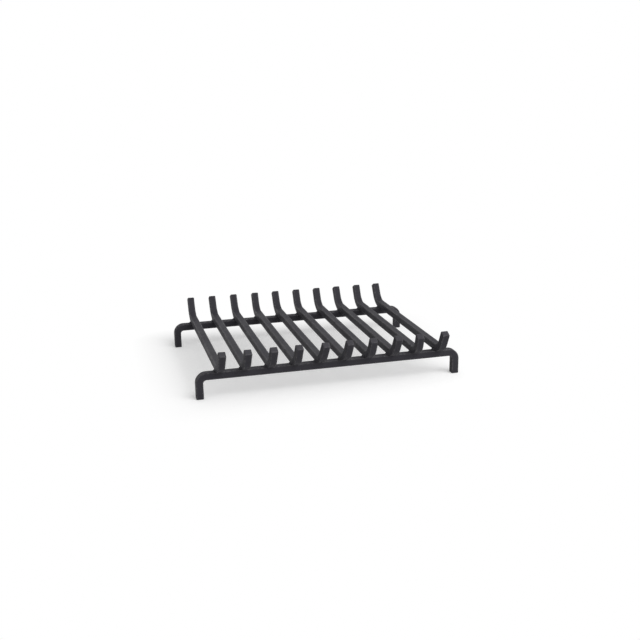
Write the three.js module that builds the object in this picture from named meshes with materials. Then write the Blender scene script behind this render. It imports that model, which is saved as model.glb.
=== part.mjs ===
// A hearth grate for burning wood, welded up from square steel bar.
//
// Two rails run from left to right (X). Each is one bar with both ends bent down into legs.
// Ten cross bars lie over the rails from front (-Y) to back (+Y). Both ends of each bar are
// bent up into horns that lean outwards. Weld beads fill the corners where bar crosses rail.
// The origin is on the hearth under the middle of the grate, +Z is up, lengths are millimetres.

import * as THREE from 'three';

// The bar stock, the same for every bar
const BAR_SIZE = 14; // square bar, across the flats
const BAR_CORNER_RADIUS = 1.4; // rolled corner of the bar
const CUT_END_EASING = 0.8; // how far the rim of each sawn end is rounded back

// The rails
const RAIL_SPACING = 336; // front rail to rear rail, centre to centre
const RAIL_TOP_HEIGHT = 50; // hearth to the top of a rail
const RAIL_END_RUN = 16.5; // straight rail from the outermost cross bar's side to the leg's bend
const LEG_BEND_INSIDE_RADIUS = 6; // hot bend at the top of each leg

// The cross bars
const CROSS_BAR_COUNT = 10;
const CROSS_BAR_PITCH = 46.9; // centre to centre
const HORN_BEND_SETBACK = 4.5; // rail centre to the start of the bend, outwards
const HORN_BEND_INSIDE_RADIUS = 23;
const HORN_LEAN = 29; // degrees, outwards from upright
const HORN_STRAIGHT_LENGTH = 24.5; // end of the bend to the sawn end, on the centre line

// The weld beads
const WELD_LEG = 3.2; // up the bar's side, and out along the rail's top
const WELD_CROWN = 0.5; // how far the bead's face bulges past a flat fillet
const WELD_RIPPLE_COUNT = 5; // puddle ripples along one bead
const WELD_RIPPLE_DEPTH = 0.3;
const WELD_END_TAPER_LENGTH = 2.2; // the bead fades in and out over this length
const WELD_END_LEG = 1.7; // leg of the bead at its very ends

// How finely the curves are cut into flats
const CORNER_CURVE_SEGMENTS = 1; // each rolled corner is cut into twice this many flats
const LEG_BEND_STEPS = 8;
const HORN_BEND_STEPS = 8;
const WELD_FACE_STEPS = 3;
const STEPS_PER_RIPPLE = 2;

// Sizes that follow from the ones above
const HALF_BAR = BAR_SIZE / 2;
const CROSS_BARS_WIDTH = (CROSS_BAR_COUNT - 1) * CROSS_BAR_PITCH + BAR_SIZE;
const RAIL_STRAIGHT_LENGTH = CROSS_BARS_WIDTH + 2 * RAIL_END_RUN; // between the two bends
const LEG_BEND_RADIUS = LEG_BEND_INSIDE_RADIUS + HALF_BAR; // on the centre line
const HORN_BEND_RADIUS = HORN_BEND_INSIDE_RADIUS + HALF_BAR; // on the centre line
const HORN_RISE_ANGLE = THREE.MathUtils.degToRad(90 - HORN_LEAN);
const WELD_LENGTH = BAR_SIZE - 2 * BAR_CORNER_RADIUS; // the flat of the rail's top

// ---- Materials -------------------------------------------------------------

function coatedSteel() {
  return new THREE.MeshStandardMaterial({ color: 0x35353a, roughness: 0.62, metalness: 0.15 });
}

function coatedWeld() {
  return new THREE.MeshStandardMaterial({ color: 0x303034, roughness: 0.7, metalness: 0.15 });
}

// ---- The bent bar ----------------------------------------------------------

// The centre line of a bent bar, as stations of { point, tangent }. A straight run has
// stations only at its ends and a bend has them at even angles, so a sweep along the line
// spends its steps on the bends.
class BentBarLine extends THREE.Curve {
  constructor(stations) {
    super();
    this.stations = stations;
  }

  stationAt(u) {
    return this.stations[Math.round(u * (this.stations.length - 1))];
  }

  getPointAt(u, target = new THREE.Vector3()) {
    return target.copy(this.stationAt(u).point);
  }

  getTangentAt(u, target = new THREE.Vector3()) {
    return target.copy(this.stationAt(u).tangent);
  }
}

// Stations round a bend, from where it starts to where it ends. The bend turns from the
// direction `along` to the direction `across`, which is square to it, through `angle`.
function bendStations(start, along, across, radius, angle, steps) {
  const stations = [];
  for (let step = 0; step <= steps; step += 1) {
    const turned = (angle * step) / steps;
    const point = start.clone();
    point.addScaledVector(along, radius * Math.sin(turned));
    point.addScaledVector(across, radius * (1 - Math.cos(turned)));
    const tangent = along.clone().multiplyScalar(Math.cos(turned));
    tangent.addScaledVector(across, Math.sin(turned));
    stations.push({ point, tangent });
  }
  return stations;
}

// The two stations of a sawn end, one at the cut and one where its eased rim begins.
function cutEndStations(from, direction, straightLength) {
  return [straightLength - CUT_END_EASING, straightLength].map((distance) => ({
    point: from.clone().addScaledVector(direction, distance),
    tangent: direction.clone(),
  }));
}

// One bent end, from the last straight point of the bar's middle out to the sawn end.
function bentEndStations(bendStart, along, across, radius, angle, steps, straightLength) {
  const bend = bendStations(bendStart, along, across, radius, angle, steps);
  const bendEnd = bend[bend.length - 1];
  return [...bend, ...cutEndStations(bendEnd.point, bendEnd.tangent, straightLength)];
}

// Joins two bent ends into one line that runs from the first sawn end to the last.
function joinBentEnds(firstEnd, lastEnd) {
  const reversed = firstEnd.map(({ point, tangent }) => ({ point, tangent: tangent.clone().negate() }));
  return new BentBarLine([...reversed.reverse(), ...lastEnd]);
}

// The bar's section: a square with rolled corners.
function barSection() {
  const flat = HALF_BAR - BAR_CORNER_RADIUS;
  const section = new THREE.Shape();
  section.moveTo(flat, -HALF_BAR);
  section.absarc(flat, -flat, BAR_CORNER_RADIUS, -Math.PI / 2, 0);
  section.absarc(flat, flat, BAR_CORNER_RADIUS, 0, Math.PI / 2);
  section.absarc(-flat, flat, BAR_CORNER_RADIUS, Math.PI / 2, Math.PI);
  section.absarc(-flat, -flat, BAR_CORNER_RADIUS, Math.PI, Math.PI * 1.5);
  return section;
}

// Draws the rim of one sawn end in towards the centre line.
function easeCutEnd(geometry, { point: centre, tangent }) {
  const positions = geometry.attributes.position;
  const keptShare = (HALF_BAR - CUT_END_EASING) / HALF_BAR;
  const offset = new THREE.Vector3();
  for (let index = 0; index < positions.count; index += 1) {
    offset.fromBufferAttribute(positions, index).sub(centre);
    const isOnCut = Math.abs(offset.dot(tangent)) < CUT_END_EASING / 2 && offset.length() < BAR_SIZE;
    if (isOnCut) {
      offset.multiplyScalar(keptShare).add(centre);
      positions.setXYZ(index, offset.x, offset.y, offset.z);
    }
  }
}

function sweepBar(line) {
  const geometry = new THREE.ExtrudeGeometry(barSection(), {
    extrudePath: line,
    steps: line.stations.length - 1,
    curveSegments: CORNER_CURVE_SEGMENTS,
  });
  easeCutEnd(geometry, line.stations[0]);
  easeCutEnd(geometry, line.stations[line.stations.length - 1]);
  geometry.computeVertexNormals();
  return geometry;
}

// ---- The rails -------------------------------------------------------------

// A rail in its own upright plane at y = 0, standing on z = 0.
function railLine() {
  const middleHeight = RAIL_TOP_HEIGHT - HALF_BAR;
  const legStraightLength = middleHeight - LEG_BEND_RADIUS;
  const down = new THREE.Vector3(0, 0, -1);
  const [leftEnd, rightEnd] = [-1, 1].map((side) => bentEndStations(
    new THREE.Vector3((side * RAIL_STRAIGHT_LENGTH) / 2, 0, middleHeight),
    new THREE.Vector3(side, 0, 0),
    down,
    LEG_BEND_RADIUS,
    Math.PI / 2,
    LEG_BEND_STEPS,
    legStraightLength,
  ));
  return joinBentEnds(leftEnd, rightEnd);
}

function makeRail(name, y) {
  const rail = new THREE.Mesh(sweepBar(railLine()), coatedSteel());
  rail.name = name;
  rail.position.y = y;
  return rail;
}

// ---- The cross bars --------------------------------------------------------

// A cross bar in its own upright plane at x = 0, resting on the rails' tops.
function crossBarLine() {
  const middleHeight = RAIL_TOP_HEIGHT + HALF_BAR;
  const bendStartY = RAIL_SPACING / 2 + HORN_BEND_SETBACK;
  const up = new THREE.Vector3(0, 0, 1);
  const [frontHorn, rearHorn] = [-1, 1].map((side) => bentEndStations(
    new THREE.Vector3(0, side * bendStartY, middleHeight),
    new THREE.Vector3(0, side, 0),
    up,
    HORN_BEND_RADIUS,
    HORN_RISE_ANGLE,
    HORN_BEND_STEPS,
    HORN_STRAIGHT_LENGTH,
  ));
  return joinBentEnds(frontHorn, rearHorn);
}

function crossBarX(number) {
  return (number - (CROSS_BAR_COUNT + 1) / 2) * CROSS_BAR_PITCH;
}

function twoDigits(number) {
  return String(number).padStart(2, '0');
}

function makeCrossBar(number) {
  const bar = new THREE.Mesh(sweepBar(crossBarLine()), coatedSteel());
  bar.name = `cross_bar_${twoDigits(number)}`;
  bar.position.x = crossBarX(number);
  return bar;
}

// ---- The weld beads --------------------------------------------------------

// The bead's section across its run: the root corner, a foot on the rail, a foot on the bar
// and a slightly crowned face between the two.
function beadSection() {
  const section = new THREE.Shape();
  section.moveTo(0, 0);
  section.lineTo(WELD_LEG, 0);
  for (let step = 1; step < WELD_FACE_STEPS; step += 1) {
    const share = step / WELD_FACE_STEPS;
    const crown = (WELD_CROWN * Math.sin(Math.PI * share)) / Math.SQRT2;
    section.lineTo(WELD_LEG * (1 - share) + crown, WELD_LEG * share + crown);
  }
  section.lineTo(0, WELD_LEG);
  section.closePath();
  return section;
}

// The bead's size at a distance along its run, as a share of its full section: it fades in
// and out at the ends, and each puddle of metal leaves a ripple.
function beadShare(distance) {
  const fromNearerEnd = Math.min(distance, WELD_LENGTH - distance);
  const faded = Math.min(fromNearerEnd / WELD_END_TAPER_LENGTH, 1);
  const endShare = WELD_END_LEG / WELD_LEG;
  const swell = endShare + (1 - endShare) * Math.sin((Math.PI / 2) * faded);
  const ripple = Math.cos((2 * Math.PI * WELD_RIPPLE_COUNT * distance) / WELD_LENGTH);
  return swell - (WELD_RIPPLE_DEPTH / WELD_LEG) * ((1 + ripple) / 2);
}

// A bead in the corner between the planes x = 0 and z = 0, on the side x > 0, run along Y.
function beadGeometry() {
  const geometry = new THREE.ExtrudeGeometry(beadSection(), {
    depth: WELD_LENGTH,
    steps: WELD_RIPPLE_COUNT * STEPS_PER_RIPPLE,
    bevelEnabled: false,
  });
  const positions = geometry.attributes.position;
  for (let index = 0; index < positions.count; index += 1) {
    const distance = positions.getZ(index);
    const share = beadShare(distance);
    const outwards = positions.getX(index) * share;
    const upwards = positions.getY(index) * share;
    positions.setXYZ(index, outwards, WELD_LENGTH / 2 - distance, upwards);
  }
  geometry.computeVertexNormals();
  return geometry;
}

// One bead in the corner between a cross bar's side and a rail's top.
function makeWeldBead(railName, railY, number, sideName, side) {
  const bead = new THREE.Mesh(beadGeometry(), coatedWeld());
  bead.name = `weld_${railName}_${twoDigits(number)}_${sideName}`;
  bead.position.set(crossBarX(number) + side * HALF_BAR, railY, RAIL_TOP_HEIGHT);
  bead.rotation.z = side > 0 ? 0 : Math.PI;
  return bead;
}

// ---- The grate -------------------------------------------------------------

function makeGrate() {
  const grate = new THREE.Group();
  const railPlaces = { front: -RAIL_SPACING / 2, rear: RAIL_SPACING / 2 };
  const bothSides = { left: -1, right: 1 };
  for (const [railName, railY] of Object.entries(railPlaces)) {
    grate.add(makeRail(`${railName}_rail`, railY));
  }
  for (let number = 1; number <= CROSS_BAR_COUNT; number += 1) {
    grate.add(makeCrossBar(number));
    for (const [railName, railY] of Object.entries(railPlaces)) {
      for (const [sideName, side] of Object.entries(bothSides)) {
        grate.add(makeWeldBead(railName, railY, number, sideName, side));
      }
    }
  }
  return grate;
}

export default makeGrate();
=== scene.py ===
import math
import random

import bmesh
import bpy
from mathutils import Matrix, Vector, noise


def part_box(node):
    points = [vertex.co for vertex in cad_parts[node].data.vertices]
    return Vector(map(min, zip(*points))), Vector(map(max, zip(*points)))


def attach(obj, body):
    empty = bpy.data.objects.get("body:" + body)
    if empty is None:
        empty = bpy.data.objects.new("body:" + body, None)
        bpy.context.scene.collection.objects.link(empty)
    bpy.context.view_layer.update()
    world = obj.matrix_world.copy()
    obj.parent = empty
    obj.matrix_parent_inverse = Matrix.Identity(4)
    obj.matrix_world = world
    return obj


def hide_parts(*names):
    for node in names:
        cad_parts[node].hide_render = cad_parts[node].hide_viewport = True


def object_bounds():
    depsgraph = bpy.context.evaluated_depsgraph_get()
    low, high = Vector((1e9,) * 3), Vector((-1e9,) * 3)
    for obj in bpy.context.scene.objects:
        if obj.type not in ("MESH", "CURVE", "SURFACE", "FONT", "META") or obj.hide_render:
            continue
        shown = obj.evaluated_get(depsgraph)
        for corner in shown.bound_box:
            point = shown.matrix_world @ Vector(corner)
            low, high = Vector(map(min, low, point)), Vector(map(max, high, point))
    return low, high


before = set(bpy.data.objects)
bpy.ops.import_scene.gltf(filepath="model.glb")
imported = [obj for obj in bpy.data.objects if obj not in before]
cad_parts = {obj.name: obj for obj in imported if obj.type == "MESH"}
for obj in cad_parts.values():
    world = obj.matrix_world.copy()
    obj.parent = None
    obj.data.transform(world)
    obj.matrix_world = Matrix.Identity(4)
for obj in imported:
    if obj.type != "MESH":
        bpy.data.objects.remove(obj)  # metres, +Z up, the grate stands on z = 0 with its front towards -Y
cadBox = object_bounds()
print("frame is in:", len(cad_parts), "nodes")

# what the frame says about the bars
frontLow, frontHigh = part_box("front_rail")
rearLow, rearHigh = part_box("rear_rail")
halfBar = (frontHigh.y - frontLow.y) / 2
railTop = frontHigh.z
railLength = frontHigh.x - frontLow.x
railMiddleY = {"front": (frontLow.y + frontHigh.y) / 2, "rear": (rearLow.y + rearHigh.y) / 2}
crossBarNodes = sorted(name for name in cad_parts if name.startswith("cross_bar"))


# the camera stands at the left and above, where the picture was taken from
photoCamera = {
    "place": (-0.4357, -1.7562, 0.5858),
    "yaw": 15.49,  # degrees, to the right of straight ahead
    "pitch": 16.42,  # degrees, downwards
    "roll": -0.706,
    "focalPixels": 927.5,
    "axisPixel": (333.04, 333.73),  # where the lens axis meets the picture
    "imagePixels": 640,
    "sensorMillimetres": 36,
}


def aimCamera(view):
    yaw, pitch, roll = (math.radians(view[key]) for key in ("yaw", "pitch", "roll"))
    ahead = Vector((math.sin(yaw) * math.cos(pitch), math.cos(yaw) * math.cos(pitch), -math.sin(pitch)))
    level = Vector((math.cos(yaw), -math.sin(yaw), 0))
    above = level.cross(ahead)
    right = level * math.cos(roll) + above * math.sin(roll)
    up = above * math.cos(roll) - level * math.sin(roll)
    lens = bpy.data.cameras.new("photoLens")
    lens.sensor_width = view["sensorMillimetres"]
    lens.lens = view["sensorMillimetres"] * view["focalPixels"] / view["imagePixels"]
    half = view["imagePixels"] / 2
    lens.shift_x = (half - view["axisPixel"][0]) / view["imagePixels"]
    lens.shift_y = (view["axisPixel"][1] - half) / view["imagePixels"]
    camera = bpy.data.objects.new("photoCamera", lens)
    turned = Matrix((right, up, -ahead)).transposed().to_4x4()
    camera.matrix_world = Matrix.Translation(view["place"]) @ turned
    bpy.context.scene.collection.objects.link(camera)
    bpy.context.scene.camera = camera


aimCamera(photoCamera)
print("camera is up")


# node work shared by the finishes and the studio
def startFinish(name):
    finish = bpy.data.materials.new(name)
    finish.use_nodes = True
    tree = finish.node_tree
    tree.nodes.clear()
    return finish, tree


def addNode(tree, kind, **settings):
    node = tree.nodes.new(kind)
    for key, value in settings.items():
        if hasattr(node, key):
            setattr(node, key, value)
        else:
            node.inputs[key].default_value = value
    return node


def addNoise(tree, place, scale, detail, roughness):
    grain = addNode(tree, "ShaderNodeTexNoise", Scale=scale, Detail=detail, Roughness=roughness)
    tree.links.new(place, grain.inputs["Vector"])
    return grain.outputs["Fac"]


def addSpread(tree, value, fromSpan, toSpan=(0.0, 1.0)):
    spread = addNode(tree, "ShaderNodeMapRange", clamp=True)
    for key, number in zip(("From Min", "From Max", "To Min", "To Max"), (*fromSpan, *toSpan)):
        spread.inputs[key].default_value = number
    tree.links.new(value, spread.inputs["Value"])
    return spread.outputs["Result"]


def addMath(tree, operation, first, second):
    answer = addNode(tree, "ShaderNodeMath", operation=operation)
    for socket, value in zip(answer.inputs, (first, second)):
        if isinstance(value, (int, float)):
            socket.default_value = value
        else:
            tree.links.new(value, socket)
    return answer.outputs["Value"]


mixColourSockets = {"first": 6, "second": 7, "answer": 2}  # a Mix node's colour sockets, by number


def addColourMix(tree, share, first, second):
    mix = addNode(tree, "ShaderNodeMix", data_type="RGBA")
    tree.links.new(share, mix.inputs["Factor"])
    for key, value in (("first", first), ("second", second)):
        socket = mix.inputs[mixColourSockets[key]]
        if isinstance(value, tuple):
            socket.default_value = (*value, 1)
        else:
            tree.links.new(value, socket)
    return mix.outputs[mixColourSockets["answer"]]


def addShaderMix(tree, share, first, second):
    mix = addNode(tree, "ShaderNodeMixShader")
    for value, socket in zip((share, first, second), mix.inputs):
        tree.links.new(value, socket)
    return mix.outputs["Shader"]


def addAttribute(tree, name):
    return addNode(tree, "ShaderNodeAttribute", attribute_name=name)


def addBump(tree, height, depth, under):
    bump = addNode(tree, "ShaderNodeBump", Strength=1.0, Distance=depth)
    tree.links.new(height, bump.inputs["Height"])
    if under is not None:
        tree.links.new(under, bump.inputs["Normal"])
    return bump.outputs["Normal"]


# 1 for what is seen straight or in metal or glass, 0 for what only gives light
def addSightRays(tree):
    seen = addNode(tree, "ShaderNodeLightPath").outputs
    direct = addMath(tree, "MAXIMUM", seen["Is Camera Ray"], seen["Is Glossy Ray"])
    return addMath(tree, "MAXIMUM", direct, seen["Is Transmission Ray"])


def sendOut(tree, kind, shader):
    out = addNode(tree, kind)
    tree.links.new(shader, out.inputs["Surface"])


# a thin matt black heat-resistant coat over rolled steel
coating = {
    "deep": (0.0270, 0.0259, 0.0312),
    "thin": (0.0510, 0.0493, 0.0577),
    "sawn": (0.0600, 0.0580, 0.0660),  # cut ends are lighter
    "rubbedAndHighlit": (0.150, 0.145, 0.150),  # where corners have been handled, lighter too as a painted highlight along them
    "bareSteel": 0.7,  # share of bare steel where a corner is rubbed through
    "specular": 0.1,
    # the noises: scale per metre, detail, roughness
    "patches": (26, 4, 0.6),
    "mottle": (850, 4, 0.65),
    "grain": (2600, 3, 0.65),
    "peel": (620, 2, 0.5),
    "streaks": (1, 2, 0.5),  # its scale is in streakStretch
    "rubAndHighlightNoise": (300, 5, 0.7),
    "streakStretch": (1400, 45, 1),  # per metre across the bar and along it
    "sawMarks": {"Scale": 95, "Distortion": 1.5, "Detail": 2.0},
    # the part of each noise's range that is spread out
    "patchSpan": (0.36, 0.66),
    "mottleSpan": (0.4, 0.68),
    "grainSpan": (0.3, 0.7),
    "sawnSpan": (0.3, 0.7),
    "roughnessSpan": (0.3, 1.5),  # of patches and grain added up
    # the rub spans spread the rubbing and the painted highlight on the corners
    "barRubAndHighlightSpan": (0.44, 0.66),
    "weldRubSpan": (0.54, 0.9),
    # how much each one does
    "patchShare": 0.22,
    "mottleShare": 0.62,
    "grainContrast": 0.25,
    "sawnShares": (0.4, 1.0),
    "rubAndHighlightShares": (0.05, 0.5),  # least and most rubbing and painted highlight along a corner
    "roughness": (0.5, 0.66),
    "polish": 0.3,  # rubbed corners are this much less rough
    "mottleDepth": 0.00005,
    "peelDepth": 0.00014,
    "grainDepth": 0.00002,
    "streakDepth": 0.00002,
    "sawDepth": 0.00008,
}


def coatFinish(name, coat, rubAndHighlightSpan):
    finish, tree = startFinish(name)
    here = addNode(tree, "ShaderNodeTexCoord").outputs["Object"]
    patches = addSpread(tree, addNoise(tree, here, *coat["patches"]), coat["patchSpan"])
    mottle = addNoise(tree, here, *coat["mottle"])
    grain = addNoise(tree, here, *coat["grain"])
    peel = addNoise(tree, here, *coat["peel"])
    # rolling and drawing left faint lines along each bar
    stretch = addNode(tree, "ShaderNodeVectorMath", operation="MULTIPLY")
    stretch.inputs[1].default_value = coat["streakStretch"]
    tree.links.new(addAttribute(tree, "grain").outputs["Vector"], stretch.inputs[0])
    streaks = addNoise(tree, stretch.outputs["Vector"], *coat["streaks"])
    # the coat's own colour
    clouds = addMath(tree, "MULTIPLY", patches, coat["patchShare"])
    specks = addSpread(tree, mottle, coat["mottleSpan"], (0.0, coat["mottleShare"]))
    contrast = coat["grainContrast"]
    flecks = addSpread(tree, grain, coat["grainSpan"], (1 - contrast, 1 + contrast))
    thinness = addMath(tree, "MULTIPLY", addMath(tree, "ADD", clouds, specks), flecks)
    coated = addColourMix(tree, thinness, coat["deep"], coat["thin"])
    # cut ends
    cut = addAttribute(tree, "cut").outputs["Fac"]
    cutMottle = addSpread(tree, mottle, coat["sawnSpan"], coat["sawnShares"])
    coated = addColourMix(tree, addMath(tree, "MULTIPLY", cut, cutMottle), coated, coat["sawn"])
    # corners are rubbed a little thin, in patches, and lightened there as a painted highlight
    rim = addAttribute(tree, "rim").outputs["Fac"]
    rubAndHighlightNoise = addSpread(tree, addNoise(tree, here, *coat["rubAndHighlightNoise"]), rubAndHighlightSpan, coat["rubAndHighlightShares"])
    rubbedAndHighlit = addMath(tree, "MULTIPLY", rim, rubAndHighlightNoise)
    colour = addColourMix(tree, rubbedAndHighlit, coated, coat["rubbedAndHighlit"])
    bare = addMath(tree, "MULTIPLY", rubbedAndHighlit, coat["bareSteel"])
    rough = addSpread(tree, addMath(tree, "ADD", patches, grain), coat["roughnessSpan"], coat["roughness"])
    rough = addMath(tree, "SUBTRACT", rough, addMath(tree, "MULTIPLY", rubbedAndHighlit, coat["polish"]))
    # sawn faces keep fine parallel marks
    saw = addNode(tree, "ShaderNodeTexWave", **coat["sawMarks"])
    tree.links.new(here, saw.inputs["Vector"])
    sawn = addMath(tree, "MULTIPLY", saw.outputs["Fac"], cut)
    reliefs = (
        (mottle, "mottleDepth"),
        (peel, "peelDepth"),
        (grain, "grainDepth"),
        (streaks, "streakDepth"),
        (sawn, "sawDepth"),
    )
    normal = None
    for height, depthKey in reliefs:
        normal = addBump(tree, height, coat[depthKey], normal)
    skin = addNode(tree, "ShaderNodeBsdfPrincipled")
    skin.inputs["Specular IOR Level"].default_value = coat["specular"]
    tree.links.new(colour, skin.inputs["Base Color"])
    tree.links.new(bare, skin.inputs["Metallic"])
    tree.links.new(rough, skin.inputs["Roughness"])
    tree.links.new(normal, skin.inputs["Normal"])
    sendOut(tree, "ShaderNodeOutputMaterial", skin.outputs["BSDF"])
    return finish


# both coats lighten rubbed corners and weld ridges, partly wear and partly a painted highlight
barFinish = coatFinish("coatedBar", coating, coating["barRubAndHighlightSpan"])
weldFinish = coatFinish("coatedWeld", coating, coating["weldRubSpan"])
print("finishes are mixed")


# rings of points joined into one closed skin; each point says where it is, how much rubbing and painted
# highlight it takes, whether it is on a cut, and how far around and along the bar it lies
def wrapRings(name, rings, finish):
    shape = bmesh.new()
    rimLayer = shape.verts.layers.float.new("rim")
    cutLayer = shape.verts.layers.float.new("cut")
    grainLayer = shape.verts.layers.float_vector.new("grain")
    rows = []
    for ring in rings:
        row = []
        for point in ring:
            vert = shape.verts.new(point["at"])
            vert[rimLayer] = point["rim"]
            vert[cutLayer] = point["cut"]
            vert[grainLayer] = (point["around"], point["travel"], 0)
            row.append(vert)
        rows.append(row)
    count = len(rows[0])
    for row, nextRow in zip(rows, rows[1:]):
        for index in range(count):
            after = (index + 1) % count
            shape.faces.new((row[index], row[after], nextRow[after], nextRow[index]))
    for row in (rows[0], rows[-1]):  # close each end on a point in its middle
        middle = sum((vert.co for vert in row), Vector()) / count
        hub = shape.verts.new(middle)
        hub[cutLayer] = row[0][cutLayer]
        for index in range(count):
            shape.faces.new((row[index], row[(index + 1) % count], hub))
    bmesh.ops.recalc_face_normals(shape, faces=shape.faces)
    for face in shape.faces:
        face.smooth = True
    mesh = bpy.data.meshes.new(name)
    shape.to_mesh(mesh)
    shape.free()
    mesh.materials.append(finish)
    piece = bpy.data.objects.new(name, mesh)
    bpy.context.scene.collection.objects.link(piece)
    return piece


def unevenness(place):  # from 0 to 1, and the same each time
    return 0.5 + 0.5 * noise.noise(place)


# the square bar that everything is bent from
barStock = {
    "cornerRadius": 0.0017,
    "cornerSteps": 4,
    "cornerShrink": 0.5,  # a section set in loses this share of the inset from its corner radius
    "leastCorner": 0.0002,
    "flatMarks": (0.045, 0.13, 0.28, 0.5, 0.72, 0.87, 0.955),  # lines along each flat, as shares of it
    "rubAndHighlightWidth": 0.0009,  # how far the rubbed corner and its painted highlight reach onto a flat
    "sawnRim": 0.0018,  # the sawn rim is rounded back this far
    "rimSteps": 3,
    "capShares": (0.8, 0.45),  # rings on the flat of the cut
    "runStep": 0.006,
    "wander": 0.00012,  # how far the rolled faces dip
    "wanderScale": 38,
    "wanderDrift": (7.31, 3.77, 5.13),  # carries each bar to its own part of the noise
    "bendSpread": 0.05,  # the inside of a hot bend swells and the outside narrows by this share
    "bendHollow": 0.0003,  # the outside of a hot bend sinks this far
}


# the outline across the bar, set in from the full section by inset
def sectionOutline(inset, stock):
    half = halfBar - inset
    corner = max(stock["cornerRadius"] - inset * stock["cornerShrink"], stock["leastCorner"])
    flat = half - corner
    outline = []
    for quarter, signs in enumerate(((1, 1), (-1, 1), (-1, -1), (1, -1))):
        start = quarter * math.pi / 2
        for step in range(stock["cornerSteps"] + 1):
            angle = start + math.pi / 2 * step / stock["cornerSteps"]
            outward = Vector((math.cos(angle), math.sin(angle)))
            spot = Vector(signs) * flat + outward * corner
            outline.append({"spot": spot, "out": outward, "rim": 1.0})
        outward = Vector((math.cos(start + math.pi / 2), math.sin(start + math.pi / 2)))
        sweep = Vector((-outward.y, outward.x))
        for mark in stock["flatMarks"]:
            spot = outward * half + sweep * (2 * flat * mark - flat)
            fromCorner = 2 * flat * min(mark, 1 - mark)
            # rim: how much rubbing and painted highlight a point takes, fading away from the corner
            rim = max(0.0, 1 - fromCorner / stock["rubAndHighlightWidth"])
            outline.append({"spot": spot, "out": outward, "rim": rim})
    return outline


def outlineDistances(outline):
    distances = [0.0]
    for before, after in zip(outline, outline[1:]):
        distances.append(distances[-1] + (after["spot"] - before["spot"]).length)
    return distances


# half a bent bar's centre line, from its middle out to the sawn end, which may lean sideways
def halfLine(middle, along, inward, bend, stock, lean):
    stations = []
    runs = max(1, round(bend["straightToBend"] / stock["runStep"]))
    for step in range(runs):
        travel = bend["straightToBend"] * step / runs
        stations.append({"at": middle + along * travel, "inward": inward, "ahead": along, "travel": travel})
    start = middle + along * bend["straightToBend"]
    radius = bend["radius"]
    for step in range(bend["steps"] + 1):
        share = step / bend["steps"]
        turned = bend["angle"] * share
        onward = along * (radius * math.sin(turned))
        risen = inward * (radius * (1 - math.cos(turned)))
        stations.append({
            "at": start + onward + risen,
            "inward": inward * math.cos(turned) - along * math.sin(turned),
            "ahead": along * math.cos(turned) + inward * math.sin(turned),
            "travel": bend["straightToBend"] + radius * turned,
            "bend": math.sin(math.pi * share) ** 2,
            "aside": lean * radius * turned * share / 2,
            "skew": lean * share,
        })
    last = stations[-1]

    def addBeyond(out, **more):  # a station past the bend
        station = dict(last, at=last["at"] + last["ahead"] * out, travel=last["travel"] + out)
        station.update(aside=last["aside"] + lean * out, **more)
        stations.append(station)

    end = bend["straightToEnd"] - abs(lean) * halfBar  # a leaning cut stays within the height
    reach = end - stock["sawnRim"]
    runs = max(1, round(reach / stock["runStep"]))
    for step in range(1, runs + 1):
        addBeyond(reach * step / runs)
    for step in range(1, stock["rimSteps"] + 1):  # the rounded rim of the cut
        angle = math.pi / 2 * step / stock["rimSteps"]
        inset = stock["sawnRim"] * (1 - math.cos(angle))
        addBeyond(reach + stock["sawnRim"] * math.sin(angle), inset=inset, rim=math.sin(angle))
    for share in stock["capShares"]:  # the flat of the cut
        addBeyond(end, inset=stock["sawnRim"], cap=share)
    return stations


# the bar's outline set up at each station and made a little uneven
def barRings(stations, sideways, stock, seed):
    rings = []
    drift = Vector([seed * step for step in stock["wanderDrift"]])
    for station in stations:
        outline = sectionOutline(station.get("inset", 0.0), stock)
        cap = station.get("cap", 1.0)
        bend = station.get("bend", 0.0)
        skew = station.get("skew", 0.0)
        ring = []
        for mark, distance in zip(outline, outlineDistances(outline)):
            side, inner = mark["spot"]
            # the rolled faces dip a little
            at = station["at"] + sideways * side + station["inward"] * inner
            dip = stock["wander"] * unevenness(at * stock["wanderScale"] + drift)
            side -= mark["out"].x * dip
            inner -= mark["out"].y * dip
            # a hot bend swells inside, narrows outside and sinks there
            side *= 1 + stock["bendSpread"] * bend * inner / halfBar
            if inner < 0:
                inner += stock["bendHollow"] * bend * max(0.0, 1 - (side / halfBar) ** 2)
            side *= cap
            inner *= cap
            # set up at the station, leant sideways where the horn leans
            at = station["at"] + sideways * (station.get("aside", 0.0) + side * math.cos(skew))
            at += station["inward"] * inner - station["ahead"] * (side * math.sin(skew))
            ring.append({
                "at": at,
                "rim": max(mark["rim"] * (cap == 1.0), station.get("rim", 0.0)),
                "cut": float("cap" in station),
                "around": distance,
                "travel": station["travel"],
            })
        rings.append(ring)
    return rings


# a whole bent bar: both halves of its centre line, dressed with the outline and wrapped
def bendBar(name, middle, along, inward, bend, stock, seed, leans=(0.0, 0.0)):
    behind, ahead = (
        halfLine(middle, direction, inward, bend, stock, math.radians(lean))
        for direction, lean in zip((-along, along), leans)
    )
    for station in behind:
        station["travel"] = -station["travel"]
    sideways = along.cross(inward)
    return wrapRings(name, barRings(behind[:0:-1] + ahead, sideways, stock, seed), barFinish)


# the two rails, each bent down into a leg at both ends
rail = {"insideRadius": 0.006, "angle": math.pi / 2, "steps": 20}
rail["radius"] = rail["insideRadius"] + halfBar
rail["straightToBend"] = railLength / 2 - halfBar - rail["radius"]
rail["straightToEnd"] = railTop - halfBar - rail["radius"]
for seed, (place, middleY) in enumerate(railMiddleY.items(), start=1):
    middle = Vector((0, middleY, railTop - halfBar))
    piece = bendBar(f"{place}Rail", middle, Vector((1, 0, 0)), Vector((0, 0, -1)), rail, barStock, seed)
    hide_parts(f"{place}_rail")
    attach(piece, "root")
print("rails are bent")


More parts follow.
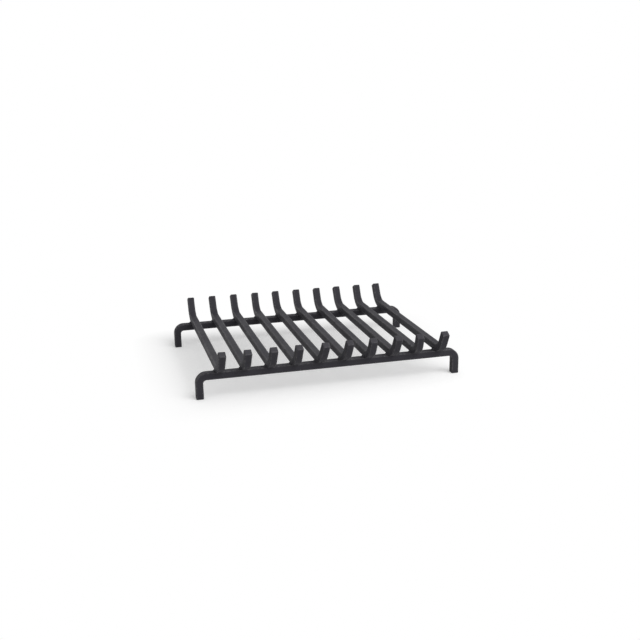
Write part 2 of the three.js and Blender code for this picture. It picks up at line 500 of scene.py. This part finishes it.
# the cross bars, each bent up into a horn at both ends
crossBar = {
    "insideRadius": 0.023,
    "setback": 0.0045,  # the bend starts this far outside the rail's middle
    "lean": 29,  # degrees, outwards from upright
    "straightToEnd": 0.0245,
    "steps": 18,
    # bent by hand: how far each horn's end leans to the right, in degrees
    "frontLeans": (1.8, 1, 1.2, 0.8, 4.8, 2, -0.2, 1.5, -5, -0.5),
    "rearLeanLimit": 1,
    "firstSeed": 11,  # the rails have the first two
}
crossBar["angle"] = math.radians(90 - crossBar["lean"])
crossBar["radius"] = crossBar["insideRadius"] + halfBar
crossBar["straightToBend"] = railMiddleY["rear"] + crossBar["setback"]
for index, (node, frontLean) in enumerate(zip(crossBarNodes, crossBar["frontLeans"], strict=True)):
    low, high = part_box(node)
    middle = Vector(((low.x + high.x) / 2, 0, railTop + halfBar))
    rearLean = random.Random(node).uniform(-1, 1) * crossBar["rearLeanLimit"]
    piece = bendBar(f"crossBar{index + 1:02d}", middle, Vector((0, 1, 0)), Vector((0, 0, 1)), crossBar,
                    barStock, crossBar["firstSeed"] + index, (frontLean, rearLean))
    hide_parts(node)
    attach(piece, "root")
print("cross bars are bent")


# the weld beads in the corners between bar and rail
weldBead = {
    "ripples": 5,
    "rippleDepth": 0.0003,
    "rippleBow": 0.5,  # a ripple's middle runs this many ripples ahead of its toes
    "rippleSkew": 0.75,  # under 1, a ripple's ridge lies nearer to where it starts
    "rippleFade": 0.4,  # under 1, the grooves stay deep until close to the toes
    "rippleRubAndHighlight": 0.6,  # share of rubbing and painted highlight on the ridges
    "crown": 0.0006,
    "nose": 0.22,  # share of the run over which each end rounds off
    "noseLeg": 0.35,  # leg at the very end, as a share of the full leg
    "legWander": 0.07,
    "wanderScale": 4,
    "wanderReach": 10,  # each bead takes its unevenness from a place on this length of noise
    "runSteps": 40,
    "faceSteps": 12,
    "sunk": 0.0004,  # the bead's root is buried this deep in the bars
}


# a bead across its run: how far out from the bar and up from the rail each point lies, and its ridge
def beadSection(leg, share, swell, phase, bead):
    section = [(-bead["sunk"], -bead["sunk"], 0.0), (leg, -bead["sunk"], 0.0)]
    for faceStep in range(bead["faceSteps"] + 1):
        across = faceStep / bead["faceSteps"]
        arch = math.sin(math.pi * across)
        turn = (bead["ripples"] * share + bead["rippleBow"] * arch + phase) % 1
        ridge = 1 - (2 * turn ** bead["rippleSkew"] - 1) ** 2
        bulge = bead["crown"] * arch * swell
        groove = bead["rippleDepth"] * (1 - ridge) * arch ** bead["rippleFade"]
        lift = (bulge - groove) / math.sqrt(2)
        section.append((leg * (1 - across) + lift, leg * across + lift, ridge * arch))
    section.append((-bead["sunk"], leg, 0.0))
    return section


def beadRings(root, outward, run, leg, bead, dice):
    phase = dice.random()
    sway = dice.uniform(0, bead["wanderReach"])
    rings = []
    for runStep in range(bead["runSteps"] + 1):
        share = runStep / bead["runSteps"]
        fromEnd = min(share, 1 - share)
        swell = math.sqrt(1 - (1 - min(fromEnd / bead["nose"], 1)) ** 2)
        wobble = 1 - bead["legWander"] * unevenness(Vector((sway, share * bead["wanderScale"], 0)))
        legHere = leg * wobble * (bead["noseLeg"] + (1 - bead["noseLeg"]) * swell)
        centre = root + Vector((0, run * (share - 0.5), 0))
        ring = []
        for index, (out, up, ridge) in enumerate(beadSection(legHere, share, swell, phase, bead)):
            ring.append({
                "at": centre + Vector((outward * out, 0, up)),
                # the ridges take rubbing and a painted highlight
                "rim": bead["rippleRubAndHighlight"] * ridge,
                "cut": 0.0,
                "around": index * leg / bead["faceSteps"],
                "travel": run * share,
            })
        rings.append(ring)
    return rings


for place, middleY in railMiddleY.items():
    for number, barNode in enumerate(crossBarNodes, start=1):
        low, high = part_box(barNode)
        for side, sideX, outward in (("left", low.x, -1), ("right", high.x, 1)):
            node = f"weld_{place}_{number:02d}_{side}"
            beadLow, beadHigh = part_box(node)
            dice = random.Random(node)
            root = Vector((sideX, middleY, railTop))
            rings = beadRings(root, outward, beadHigh.y - beadLow.y, beadHigh.z - beadLow.z, weldBead, dice)
            piece = wrapRings(f"weldBead.{place}.{number:02d}.{side}", rings, weldFinish)
            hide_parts(node)
            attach(piece, "root")
print("weld beads are laid")


# the plain floor, which turns to plain white away from the grate
studio = {
    "floorSize": 12.0,
    "floorColour": (0.6, 0.6, 0.6),
    "floorSightColour": (0.86, 0.86, 0.86),
    "floorGlow": 0.26,  # lifts the shadow and takes the lit floor to plain white
    "fadeWidth": 0.09,  # from the grate's own outline out to plain white
    "skyForLight": 0.42,
    "skyForSight": 1.0,
    "boxSize": 2.8,
    "boxPlace": (1.0, -1.9, 1.75),
    "boxWatts": 67.0,
}


def floorFinish(studio):
    finish, tree = startFinish("paleFloor")
    paint = addNode(tree, "ShaderNodeBsdfDiffuse")
    glow = addNode(tree, "ShaderNodeEmission")
    white = addNode(tree, "ShaderNodeEmission", Strength=1.0)
    # how far a point of the floor lies outside the grate's outline
    reach = addNode(tree, "ShaderNodeTexCoord").outputs["Object"]
    corner = (cadBox[1].x, cadBox[1].y, 0)
    for operation, operand in (("ABSOLUTE", None), ("SUBTRACT", corner), ("MAXIMUM", (0, 0, 0))):
        step = addNode(tree, "ShaderNodeVectorMath", operation=operation)
        tree.links.new(reach, step.inputs[0])
        if operand is not None:
            step.inputs[1].default_value = operand
        reach = step.outputs["Vector"]
    outside = addNode(tree, "ShaderNodeVectorMath", operation="LENGTH")
    tree.links.new(reach, outside.inputs[0])
    fade = addSpread(tree, outside.outputs["Value"], (0.0, studio["fadeWidth"]))
    direct = addSightRays(tree)
    colour = addColourMix(tree, direct, studio["floorColour"], studio["floorSightColour"])
    tree.links.new(colour, paint.inputs["Color"])
    tree.links.new(addMath(tree, "MULTIPLY", direct, studio["floorGlow"]), glow.inputs["Strength"])
    lit = addNode(tree, "ShaderNodeAddShader")
    tree.links.new(paint.outputs["BSDF"], lit.inputs[0])
    tree.links.new(glow.outputs["Emission"], lit.inputs[1])
    share = addMath(tree, "MULTIPLY", fade, direct)
    mixed = addShaderMix(tree, share, lit.outputs["Shader"], white.outputs["Emission"])
    sendOut(tree, "ShaderNodeOutputMaterial", mixed)
    return finish


def layFloor(studio):
    shape = bmesh.new()
    bmesh.ops.create_grid(shape, x_segments=4, y_segments=4, size=studio["floorSize"] / 2)
    mesh = bpy.data.meshes.new("paleFloor")
    shape.to_mesh(mesh)
    shape.free()
    mesh.materials.append(floorFinish(studio))
    floor = bpy.data.objects.new("paleFloor", mesh)
    bpy.context.scene.collection.objects.link(floor)


def hangSky(studio):
    sky = bpy.data.worlds.new("studioSky")
    sky.use_nodes = True
    tree = sky.node_tree
    tree.nodes.clear()
    soft = addNode(tree, "ShaderNodeBackground", Strength=studio["skyForLight"])
    white = addNode(tree, "ShaderNodeBackground", Strength=studio["skyForSight"])
    for background in (soft, white):
        background.inputs["Color"].default_value = (1, 1, 1, 1)
    mixed = addShaderMix(tree, addSightRays(tree), soft.outputs["Background"], white.outputs["Background"])
    sendOut(tree, "ShaderNodeOutputWorld", mixed)
    bpy.context.scene.world = sky


def hangSoftBox(studio):
    lamp = bpy.data.lights.new("softBox", "AREA")
    lamp.size = studio["boxSize"]
    lamp.energy = studio["boxWatts"]
    box = bpy.data.objects.new("softBox", lamp)
    box.location = studio["boxPlace"]
    box.rotation_euler = (-box.location).to_track_quat("-Z", "Y").to_euler()
    bpy.context.scene.collection.objects.link(box)


layFloor(studio)
hangSky(studio)
hangSoftBox(studio)
bpy.context.scene.view_settings.view_transform = "Standard"
print("studio is lit")
